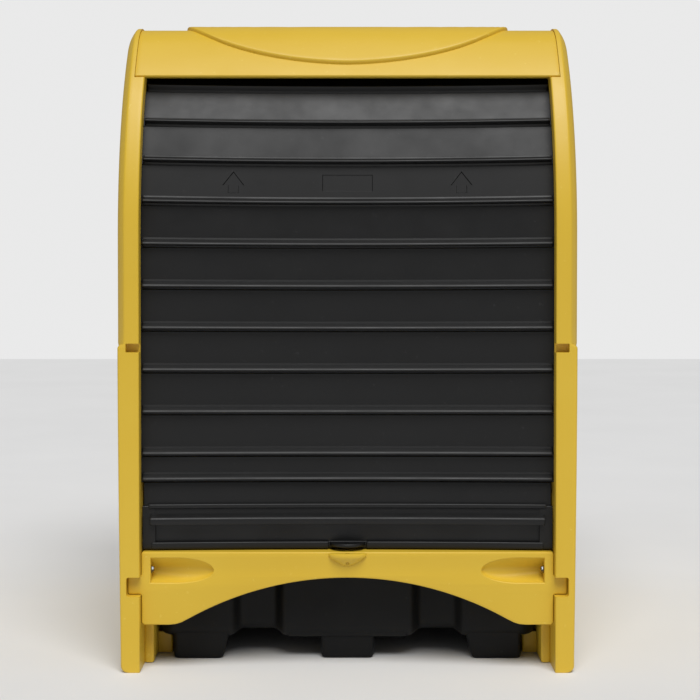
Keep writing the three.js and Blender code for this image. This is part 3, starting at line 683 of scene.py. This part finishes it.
def sink(obj, bent, outline, depth):
    """Presses an outline of (x, up) points into the slat's front face, with sloping walls."""
    low, high = [[f(p[i] for p in outline) for i in (0, 1)] for f in (min, max)]
    cx, cup = (low[0] + high[0]) / 2, (low[1] + high[1]) / 2
    draft_x, draft_up = 1 - 0.005 / (high[0] - low[0]), 1 - 0.006 / (high[1] - low[1])
    floor = [(cx + (x - cx) * draft_x, cup + (up - cup) * draft_up) for x, up in outline]
    face = WEB / 2
    tiers = ((floor, face - depth), (outline, face), (outline, face + 0.004))
    carve_prism(obj, [[bent(x, out, up) for x, up in line] for line, out in tiers])


def arrow(centre):
    """A plain upward arrow."""
    head, shaft, tip, shoulder, tail = 0.036, 0.0175, 0.050, 0.003, -0.0235
    corners = [(-shaft, tail), (shaft, tail), (shaft, shoulder), (head, shoulder), (0.0, tip),
               (-head, shoulder), (-shaft, shoulder)]
    return [(centre + x, up) for x, up in subdivided(corners, 3)]


def blank_plate():
    """The blank sunk rectangle between the arrows."""
    half, low, high = 0.083, -0.0165, 0.0405
    return subdivided([(-half, low), (half, low), (half, high), (-half, high)], 6)


def on_panel(x, out, up):
    """A point of the bottom panel, given from its lower edge and bent like the curtain."""
    return on_track(0.0, PANEL_LENGTH)(*sagged(x, out, up - PANEL_LENGTH / 2, up))


def hung(x, out, up):
    return on_panel(x, out, up - PANEL_HANG)


def bar(build, x0, x1, out0, out1, up0, up1, edge=0.003, corner=0.004):
    """A long rounded bar, cut into enough stretches to follow the bow."""
    count = max(2, int((x1 - x0) / 0.025) + 1)
    section = ring(out0, out1, up0, up1, min(corner, (out1 - out0) / 2.05, (up1 - up0) / 2.05), 3)
    xs = [x0, x0 + edge * 0.3, x0 + edge, *spread(x0 + 3 * edge, x1 - 3 * edge, count),
          x1 - edge, x1 - edge * 0.3, x1]
    size = max(out1 - out0, up1 - up0) / 2
    shrink = [1 - edge * 0.8 / size, 1 - edge * 0.25 / size, 1.0]
    scales = shrink + [1.0] * count + shrink[::-1]
    centre = ((out0 + out1) / 2, (up0 + up1) / 2)
    build.solid(tapered(section, centre, xs, scales, hung))


def bottom_panel():
    build = Builder()
    low = 0.0005
    bar(build, -0.6655, 0.6655, -WEB / 2, WEB / 2, low, PANEL_LENGTH + PANEL_HANG - 0.0008, 0.001, 0.001)
    # Raised surround: top ledge, sides and sill round the recess.
    bar(build, -0.650, 0.650, 0.000, 0.017, 0.134, 0.149)
    bar(build, -0.642, 0.642, 0.000, 0.0105, 0.100, 0.140)
    for side in (-1, 1):
        bar(build, *sorted((side * 0.628, side * RIB_HALF)), 0.000, 0.0135, low, 0.144)
        bar(build, *sorted((side * 0.0625, side * 0.640)), 0.000, 0.0165, low, 0.024)
    bar(build, -0.066, 0.066, 0.000, 0.006, low, 0.024)
    obj = build.object("door_bottom_panel_moulded", BLACK, SHARP)
    adopt(obj, "door_lift", ["door_bottom_panel"])


def pull_bar():
    section = [(0.002, 0.1225), (0.012, 0.1180), (0.0300, 0.1090), (0.0345, 0.1062), (0.0368, 0.1030),
               (0.0372, 0.0990), (0.0366, 0.0880), (0.0350, 0.0842), (0.0325, 0.0830), (0.0300, 0.0842),
               (0.0290, 0.0870), (0.0286, 0.0960), (0.0260, 0.1000), (0.0100, 0.1050), (0.002, 0.1075)]
    inner = spread(-0.636, 0.636, 53)
    xs = [-0.643, -0.6425, -0.641, *inner, 0.641, 0.6425, 0.643]
    scales = [0.86, 0.95, 1.0] + [1.0] * len(inner) + [1.0, 0.95, 0.86]
    build = Builder()
    build.solid(tapered(section, (0.02, 0.1), xs, scales, hung))
    obj = build.object("door_pull_bar_moulded", BLACK, SHARP)
    adopt(obj, "door_lift", ["door_pull_bar"])


def lock_tab():
    half, start, reach = 0.058, 0.0025, 0.0535
    levels = [(0.002, 0.95), (0.0035, 0.99), (0.005, 1.0), (0.011, 1.0), (0.0128, 0.985), (0.014, 0.95)]
    build = Builder()
    build.solid([[on_panel(x, out, up) for x, out in half_oval(half * k, start, reach * k)]
                 for up, k in levels])
    obj = build.object("door_lock_tab_moulded", BLACK, SHARP)
    bore = circle(0.0, 0.045, PADLOCK_R, 36)
    carve_prism(obj, [[on_panel(x, out, up) for x, out in bore] for up in (-0.01, 0.03)])
    adopt(obj, "door_lift", ["door_lock_tab"])


def door():
    bottom_panel()
    pull_bar()
    lock_tab()
    edge = PANEL_LENGTH
    for index in range(1, SLATS + 1):
        length = SHORT_SLAT if index == 1 else PITCH
        slat(index, edge, edge + length)
        edge += length


# ------------------------------------------------------------------------------- roof
def outline_at(inset, z_from, z_to):
    """Points (depth, z) of the outline at an inset, from a height on the front to one on the rear."""
    low_angle = math.asin((z_from - STRAIGHT) / (FRONT_R - inset))
    front = [arc_station(FRONT_R, STRAIGHT, FRONT_R, a, -1).at(inset) for a in spread(low_angle, SWEEP, 10)]
    front += [arc_station(CREST_D, CREST_Z, CREST_R, a, -1).at(inset)
              for a in spread(SWEEP, math.pi / 2, 15)[1:]]
    flat = [(d, TOP - inset) for d in spread(CREST_D, DEPTH - REAR_R, 16)][1:-1]
    rear = [arc_station(DEPTH - REAR_R, TOP - REAR_R, REAR_R, a, 1).at(inset)
            for a in spread(math.pi / 2, 0.0, 15)]
    rear += [(DEPTH - inset, z) for z in spread(TOP - REAR_R, z_to, 4)[1:]]
    return front + flat + rear


def roof():
    outer = outline_at(ROOF_IN, HEADER_Z + 0.007, ROOF_REAR_Z + 0.001)
    inner = outline_at(ROOF_IN + ROOF_WALL, HEADER_Z + 0.003, ROOF_REAR_Z + 0.001)
    # The header's lower edge: rounded in front, flat below, eased behind.
    lip = []
    for k in range(1, 6):
        a = math.radians(15 * k)
        lip.append((outer[0][0] + 0.007 * (1 - math.cos(a)), outer[0][1] - 0.007 * math.sin(a)))
    lip += [(outer[0][0] + 0.008, HEADER_Z), (inner[0][0] - 0.003, HEADER_Z),
            (inner[0][0] - 0.0006, HEADER_Z + 0.0012)]
    ends = [(0.0, 0.0015), (0.0006, 0.0005), (0.002, 0.0)]
    xs = [(-ROOF_HALF + e, inset) for e, inset in ends]
    xs += [(x, 0.0) for x in spread(-0.69, 0.69, 24)]
    xs += [(ROOF_HALF - e, inset) for e, inset in reversed(ends)]
    rows = []
    for x, inset in xs:
        k = inset / ROOF_WALL
        skin = [(d0 + (d1 - d0) * k, z0 + (z1 - z0) * k) for (d0, z0), (d1, z1) in zip(outer, inner)]
        rows.append([(x, FRONT_Y + d, z) for d, z in skin[::-1] + lip + inner])
    build = Builder()
    build.solid(rows)
    obj = join([build.object("roof_shell", YELLOW), crown()], "roof_moulded")
    for x in (-BOLT_X, BOLT_X):
        for d in ROOF_BOLT_DEPTHS:
            rim = circle(x, FRONT_Y + d, 0.016, 32)
            carve_prism(obj, [[(*p, z) for p in rim] for z in (ROOF_FLAT - 0.0165, ROOF_FLAT + 0.05)])
    adopt(obj, "shell", ["roof"])


def along(stops, value):
    """Level at a value between (position, level) stops; the last level beyond them."""
    for (a, low), (b, high) in zip(stops, stops[1:]):
        if value <= b:
            return low + (high - low) * (value - a) / (b - a)
    return stops[-1][1]


def crown():
    """Raised field on the roof whose front edge is an arc seen from the front."""
    base = outline_at(ROOF_IN + 0.004, HEADER_Z + 0.01, ROOF_REAR_Z)
    lengths = [0.0]
    for a, b in zip(base, base[1:]):
        lengths.append(lengths[-1] + math.dist(a, b))

    def raised(x, s, lift):
        """The point at x and at arc length s, lifted off the roof."""
        i = max(k for k in range(len(lengths) - 1) if lengths[k] <= s + 1e-9)
        t = (s - lengths[i]) / (lengths[i + 1] - lengths[i])
        (d0, z0), (d1, z1) = base[i], base[i + 1]
        norm = math.dist(base[i], base[i + 1])
        return (x, FRONT_Y + d0 + (d1 - d0) * t - (z1 - z0) / norm * lift,
                z0 + (z1 - z0) * t + (d1 - d0) / norm * lift)

    flat_end, corner = DEPTH - 0.230, 0.12
    flat_s = next(lengths[i] + flat_end - p[0] for i, p in enumerate(base)
                  if p[0] <= flat_end < base[i + 1][0])
    crest_s = next(lengths[i] for i, p in enumerate(base) if p[0] >= CREST_D - 1e-6)
    edges = [(0.0, 0.0), (0.0005, 0.25), (0.0018, 0.58), (0.004, 0.84), (0.0075, 0.97), (0.012, 1.0)]
    xs = [e - CROWN_HALF for e, _ in edges] + spread(-0.96 * CROWN_HALF, 0.96 * CROWN_HALF, 61)
    xs += [CROWN_HALF - e for e, _ in reversed(edges)]
    over, under = [], []
    for x in xs:
        bow = (1 - min(abs(x) / CROWN_HALF, 1.0) ** CROWN_BOW[0]) ** CROWN_BOW[1]
        s0 = crest_s + CROWN_BACK - (CROWN_FRONT + CROWN_BACK) * bow
        past = max(0.0, abs(x) - (CROWN_HALF - corner))
        s1 = flat_s - (corner - math.sqrt(max(0.0, corner ** 2 - past ** 2)))
        side_k = along(edges, min(x + CROWN_HALF, CROWN_HALF - x))
        stops = [(s0 + e, k) for e, k in edges] + [(s, 1.0) for s in spread(s0 + 0.02, s1 - 0.02, 40)]
        stops += [(s1 - e, k) for e, k in reversed(edges)]
        over.append([raised(x, s, CROWN_LIFT + CROWN_RISE * min(k, side_k)) for s, k in stops])
        under.append([raised(x, s, -0.003) for s, _ in stops])
    build = Builder()
    for rows in (over, under, [over[0], under[0]], [over[-1], under[-1]]):
        build.grid(rows)
    for end in (0, -1):
        build.grid([[row[end] for row in over], [row[end] for row in under]])
    return build.object("crown", YELLOW)


# ------------------------------------------------------------------------------ skirt
def pocket_outline(side):
    """A hand pocket: a pointed oval end toward the middle and a flat outer wall."""
    outer, inner = 0.641, 0.437
    mid, rise = (POCKET_LOW + POCKET_HIGH) / 2, (POCKET_HIGH - POCKET_LOW) / 2
    reach = POCKET_STRAIGHT - inner
    tip = [(POCKET_STRAIGHT + a * reach, mid + b * rise) for a, b in arc_points(0, 0, 1, 270, 90, 29)]
    return [(side * x, z) for x, z in tip + [(outer, mid + rise), (outer, mid - rise)]]


def skirt_outline():
    half, top, bottom, apex, flat = 0.6710, SKIRT_HIGH.z, 0.148, 0.302, 0.552
    sag = apex - bottom
    radius = (flat * flat + sag * sag) / (2 * sag)
    angle = math.degrees(math.asin(flat / radius))
    arch = arc_points(0, apex - radius, radius, 90 - angle, 90 + angle, 61)[2:-2]
    # The arch eases into the flat corner instead of meeting it at an angle.
    ease_right = [(flat - 0.010, bottom + 0.0075), (flat + 0.008, bottom + 0.0020), (flat + 0.030, bottom)]
    ease_left = [(-x, z) for x, z in reversed(ease_right)]
    round_r = 0.007
    right = [(half, bottom + 0.008), (half, TAB_LOW - 0.004), (half + 0.004, TAB_LOW),
             *arc_points(TAB_X - round_r, TAB_LOW + round_r, round_r, -90, 0, 5),
             *arc_points(TAB_X - round_r, TAB_HIGH - round_r, round_r, 0, 90, 5),
             (half + 0.004, TAB_HIGH), (half, TAB_HIGH + 0.004), (half, top - 0.006),
             (half - 0.002, top - 0.002), (half - 0.006, top)]
    left = [(-x, z) for x, z in reversed(right)]
    return [(half - 0.008, bottom), *right, *left, (-half + 0.008, bottom),
            *ease_left, *arch[::-1], *ease_right]


def skirt():
    y0, y1 = FRONT_Y + SKIRT_DEPTH, SKIRT_HIGH.y
    wall = flat_plate("skirt_wall", skirt_outline(), [pocket_outline(s) for s in (1, -1)], y1 - y0,
                      0.0045, upright((y0 + y1) / 2), YELLOW, 4)
    obj = join([wall, pocket_floor(-1, y0), pocket_floor(1, y0)], "front_skirt_moulded")
    adopt(obj, "shell", ["front_skirt"])


def lock_lug():
    """A half-round lug with a rounded top rim, shrinking downward; (lift, size) tiers."""
    half, back, reach = 0.062, FRONT_Y + 0.0336, 0.029
    top = SKIRT_HIGH.z - 0.005
    tiers = [(0.003, 0.86), (0.0024, 0.93), (0.0012, 0.98), (-0.0012, 1.0), (-0.005, 1.0),
             (-0.009, 0.99), (-0.013, 0.94), (-0.017, 0.84), (-0.022, 0.71), (-0.028, 0.55),
             (-0.034, 0.37), (-0.039, 0.20), (-0.040, 0.06)]
    build = Builder()
    build.solid([[(*p, top + lift) for p in half_oval(half * k, back, -reach * k, 40)]
                 for lift, k in tiers])
    obj = build.object("lock_lug_moulded", YELLOW, 50)
    bore = circle(0.0, FRONT_Y + PADLOCK_DEPTH, PADLOCK_R, 28)
    carve_prism(obj, [[(*p, z) for p in bore] for z in (top - 0.06, top + 0.02)])
    adopt(obj, "shell", ["lock_lug"])


def pocket_floor(side, y0):
    """A floor whose section is a V lying on its side: its upper half faces down and its lower
    half up. It deepens from the pocket's pointed end to its flat outer wall."""
    outer, tip, skin = 0.6425, 0.436, 0.004
    mid, rise = (POCKET_LOW + POCKET_HIGH) / 2, (POCKET_HIGH - POCKET_LOW) / 2
    us = [math.sin(math.pi / 2 * t) for t in spread(-1, 1, 17)]
    rows = []
    for k in range(25):
        x = tip + (outer - tip) * (k / 24) ** 1.6
        reach = min(max((POCKET_STRAIGHT - x) / (POCKET_STRAIGHT - tip), 0.0), 1.0)
        tall = (rise + 0.001) * math.sqrt(1 - reach * reach) + 0.0004
        deep = 0.008 + 0.046 * ((x - tip) / (outer - tip)) ** 0.75
        ys = [y0 + 0.002 + deep * (1 - abs(u) ** (1.35 if u > 0 else 3.2)) for u in us]
        front = [(side * x, y, mid + u * tall) for y, u in zip(ys, us)]
        back = [(side * x, y + 2 * skin, mid + u * tall * 1.02) for y, u in zip(ys, us)]
        rows.append(front + back[::-1])
    build = Builder()
    build.solid(rows)
    return build.object("pocket_floor", YELLOW, SHARP)


# ------------------------------------------------------------------------- rear panel
def rear_panel():
    y0, y1 = REAR_Y - 0.042, REAR_Y - 0.003
    low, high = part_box("rear_panel")
    field_x, field_half, field_low, field_high, lap = 0.340, 0.250, 0.300, 1.700, 0.006
    fields = [ring(s * field_x - field_half, s * field_x + field_half, field_low, field_high, 0.060, 7)
              for s in (-1, 1)]
    bores = [circle(s * BOLT_X, z, 0.0155, 24) for s in (-1, 1) for z in REAR_BOLT_HEIGHTS]
    outline = ring(-high.x, high.x, low.z, high.z, 0.004, 2)
    parts = [flat_plate("rear_wall", outline, fields + bores, y1 - y0, 0.003,
                        upright((y0 + y1) / 2), YELLOW)]

    def floor(name, x, half, z0, z1, sunk, corner, edge):
        """The floor of an opening in the wall, sunk below its outer face."""
        build = Builder()
        round_block(build, (x - half, y0 + 0.001, z0), (x + half, y1 - sunk, z1), corner, edge)
        parts.append(build.object(name, YELLOW))

    seat = 0.017
    for s in (-1, 1):
        floor("field", s * field_x, field_half + lap, field_low - lap, field_high + lap, 0.010, 0.003, 0.002)
        for z in REAR_BOLT_HEIGHTS:
            floor("bolt_seat", s * BOLT_X, seat, z - seat, z + seat, 0.0135, 0.002, 0.001)
    adopt(join(parts, "rear_panel_moulded"), "shell", ["rear_panel"])


# ----------------------------------------------------------------------------- pallet
def over_channel(x):
    """1 over a fork channel, 0 beside it, with a soft change between."""
    return step(abs(x), BAY_IN, BAY_IN + BAY_DRAFT) * (1 - step(abs(x), BAY_OUT - BAY_DRAFT, BAY_OUT))


def pallet():
    half, top = PALLET_HIGH.x, PALLET_HIGH.z
    flanks = spread(BAY_IN, BAY_IN + BAY_DRAFT, 7) + spread(BAY_OUT - BAY_DRAFT, BAY_OUT, 7)
    between = [0.0, 0.06, 0.12, 0.20, 0.27, 0.30, 0.33, 0.40, 0.47]
    extra = sorted({round(s * x, 5) for s in (-1, 1) for x in between + flanks})

    def level(z, inset, bay=True):
        """The pallet's outline at a height; with bays, its front and rear walls step in."""
        y0, y1 = PALLET_LOW.y + inset, PALLET_HIGH.y - inset
        bay_depth = BAY_DEPTH * (1 - step(z, BAY_TOP - 0.012, BAY_TOP + 0.012))
        skirt_drop = 0.0145 * (1 - step(z, UNDER, 0.160)) if inset < 0.058 else 0.0
        row = []
        for x, y in ring(-half + inset, half - inset, y0, y1, max(0.070 - inset, 0.02), 8, extra):
            if bay and abs(y - y0) < 1e-6:
                y += bay_depth * over_channel(x)
            elif bay and abs(y - y1) < 1e-6:
                y -= bay_depth * over_channel(x)
            row.append((x, y, z - skirt_drop * (1 - over_channel(x))))
        return row

    outside = [(UNDER, 0.062), (UNDER, 0.056), (UNDER, 0.042), (UNDER + 0.001, 0.030),
               (UNDER + 0.005, 0.019), (UNDER + 0.012, 0.010), (UNDER + 0.022, 0.005),
               (UNDER + 0.034, 0.0025), (0.150, 0.0015), (0.200, 0.0015), (0.240, 0.0015)]
    outside += [(BAY_TOP + 0.006 * k, 0.001) for k in range(-2, 3)]
    outside += [(top - 0.020, 0.0), (top - 0.004, 0.0), (top - 0.001, 0.0012), (top, 0.0035)]
    inside = [(top - 0.001, 0.0055), (top - 0.004, PALLET_WALL), (top - 0.035, PALLET_WALL),
              (top - 0.0358, 0.022), (top - 0.045, 0.022), (top - 0.046, 0.053),
              (SUMP_FLOOR + 0.02, 0.055), (SUMP_FLOOR, 0.075)]
    build = Builder()
    build.solid([level(*at) for at in outside] + [level(*at, False) for at in inside])
    for d0, d1 in FOOT_ROWS:
        y0, y1 = FRONT_Y + d0, FRONT_Y + d1
        slant_foot(build, (-0.586, -0.388), (y0, y1), (0.004, 0.030))
        slant_foot(build, (0.388, 0.586), (y0, y1), (0.030, 0.004))
        round_block(build, (-0.204, y0, 0.0755), (0.204, y1, 0.110), 0.016, 0.008)
        slant_foot(build, (-0.093, 0.093), (y0 + 0.006, y1 - 0.006), (0.006, 0.006))
    post = 0.055
    for x in (-0.3005, 0.3005):
        for y in (FRONT_Y + 0.560, FRONT_Y + 1.060):
            round_block(build, (x - post, y - post, SUMP_FLOOR - 0.01), (x + post, y + post, top - 0.035),
                        0.014, 0.004)
    adopt(build.object("sump_pallet_moulded", PALLET, SHARP), "shell", ["sump_pallet"])


def slant_foot(build, xs, ys, tapers):
    """A foot that tapers downward, by its own amount on its left and its right side."""
    top = 0.112
    rows = []
    for z, inset in [(0.0, 0.010), (0.0008, 0.0055), (0.003, 0.0025), (0.007, 0.0008), (0.012, 0.0),
                     (0.05, 0.0), (0.08, 0.0), (top, 0.0)]:
        t = 1 - z / top
        outline = ring(xs[0] + tapers[0] * t + inset, xs[1] - tapers[1] * t - inset,
                       ys[0] + inset + 0.008 * t, ys[1] - inset - 0.008 * t, 0.018 - inset)
        rows.append([(x, y, z) for x, y in outline])
    build.solid(rows)


def gratings():
    for word in ("left", "right"):
        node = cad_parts[f"grating_{word}"]
        node.data.materials.clear()
        node.data.materials.append(PALLET)
        bevel = node.modifiers.new("soft_edges", "BEVEL")
        bevel.width, bevel.segments, bevel.limit_method = 0.0018, 2, "ANGLE"
        bevel.angle_limit = math.radians(40)


# ------------------------------------------------------------------------------ bolts
def bolt(name, place):
    """Hexagon head with a washer face and a short shank, built along local +Z."""
    hexagon = subdivided(arc_points(0, 0, 0.0085, 30, 330, 6), 4)
    rounds = [(0.0045, -0.036), (0.0045, 0.0002), (0.0134, 0.0003), (0.0138, 0.0009), (0.0134, 0.0015)]
    heads = [(1.02, 0.0018), (1.0, 0.0068), (0.95, 0.0076), (0.88, 0.0078)]
    rows = [[(x, y, z) for x, y in arc_points(0, 0, radius, 30, 375, 24)] for radius, z in rounds]
    rows += [[(x * k, y * k, z) for x, y in hexagon] for k, z in heads]
    build = Builder()
    build.solid([[place @ Vector(p) for p in row] for row in rows])
    adopt(build.object(f"{name}_steel", ZINC, 30), "shell", [name])


def bolts():
    """Each bolt's head faces out of the wall; its seat is taken from the CAD node."""
    rearward = Matrix.Rotation(math.radians(-90), 4, "X")
    for word, side in (("left", -1), ("right", 1)):
        low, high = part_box(f"skirt_bolt_{word}")
        seat = Vector((side * 0.6408, (low.y + high.y) / 2, (low.z + high.z) / 2))
        turn = Matrix.Rotation(math.radians(-90 * side), 4, "Y")
        bolt(f"skirt_bolt_{word}", Matrix.Translation(seat) @ turn)
        for index in (1, 2):
            low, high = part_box(f"rear_bolt_{word}_{index}")
            seat = Vector(((low.x + high.x) / 2, high.y - 0.008, (low.z + high.z) / 2))
            bolt(f"rear_bolt_{word}_{index}", Matrix.Translation(seat) @ rearward)
            low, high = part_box(f"roof_bolt_{word}_{index}")
            seat = Vector(((low.x + high.x) / 2, (low.y + high.y) / 2, high.z - 0.008))
            bolt(f"roof_bolt_{word}_{index}", Matrix.Translation(seat))


# ------------------------------------------------------------------------- the object
side_panel(-1, "left")
side_panel(1, "right")
roof()
skirt()
lock_lug()
rear_panel()
door()
pallet()
gratings()
bolts()


# ------------------------------------------------------------------ studio and camera
def studio():
    """A pale floor, a white surround and one broad soft light high in front."""
    reach, z = 14, -0.0005
    corners = [(-reach, -reach, z), (reach, -reach, z), (reach, reach, z), (-reach, reach, z)]
    floor = mesh_object("floor", corners, [(0, 1, 2, 3)], floor_material())
    bpy.context.scene.view_settings.view_transform = "Standard"
    world = bpy.data.worlds.new("studio")
    bpy.context.scene.world = world
    world.use_nodes = True
    nodes, links = world.node_tree.nodes, world.node_tree.links
    dim = nodes["Background"]
    dim.inputs["Color"].default_value = (1.0, 1.0, 1.0, 1)
    dim.inputs["Strength"].default_value = 0.24
    seen = nodes.new("ShaderNodeBackground")
    seen.inputs["Color"].default_value = (1.0, 1.0, 1.0, 1)
    seen.inputs["Strength"].default_value = 0.82
    mix = nodes.new("ShaderNodeMixShader")
    links.new(nodes.new("ShaderNodeLightPath").outputs["Is Camera Ray"], mix.inputs[0])
    links.new(dim.outputs[0], mix.inputs[1])
    links.new(seen.outputs[0], mix.inputs[2])
    links.new(mix.outputs[0], nodes["World Output"].inputs["Surface"])

    light = bpy.data.lights.new("soft_key", "SUN")
    light.energy, light.angle = 2.55, math.radians(38)
    key = linked("soft_key", light)
    key.rotation_euler = Vector((-0.07, 0.53, -0.845)).to_track_quat("-Z", "Y").to_euler()


def floor_material():
    material, nodes, links, shader = new_material("studio_floor")
    tone = ramp_node(nodes, links, noise_node(nodes, links, 0.8, 3.0),
                     [(0.3, (0.78, 0.78, 0.78, 1)), (0.7, (0.81, 0.81, 0.81, 1))])
    links.new(tone, shader.inputs["Base Color"])
    shader.inputs["Roughness"].default_value = 0.8
    return material


def camera():
    """Straight in front, a little above half height, with part of the fall taken by shift."""
    data = bpy.data.cameras.new("photo_camera")
    data.lens, data.sensor_width, data.sensor_height = 79.45, 36.0, 36.0
    pitch = math.radians(1.2)
    data.shift_x, data.shift_y = 0.0036, -0.0929
    data.dof.use_dof = False
    obj = linked("photo_camera", data)
    obj.location = (0.0, FRONT_Y - 4.974, 1.3603)
    obj.rotation_euler = (math.radians(90) - pitch, 0, 0)
    bpy.context.scene.camera = obj


studio()
camera()
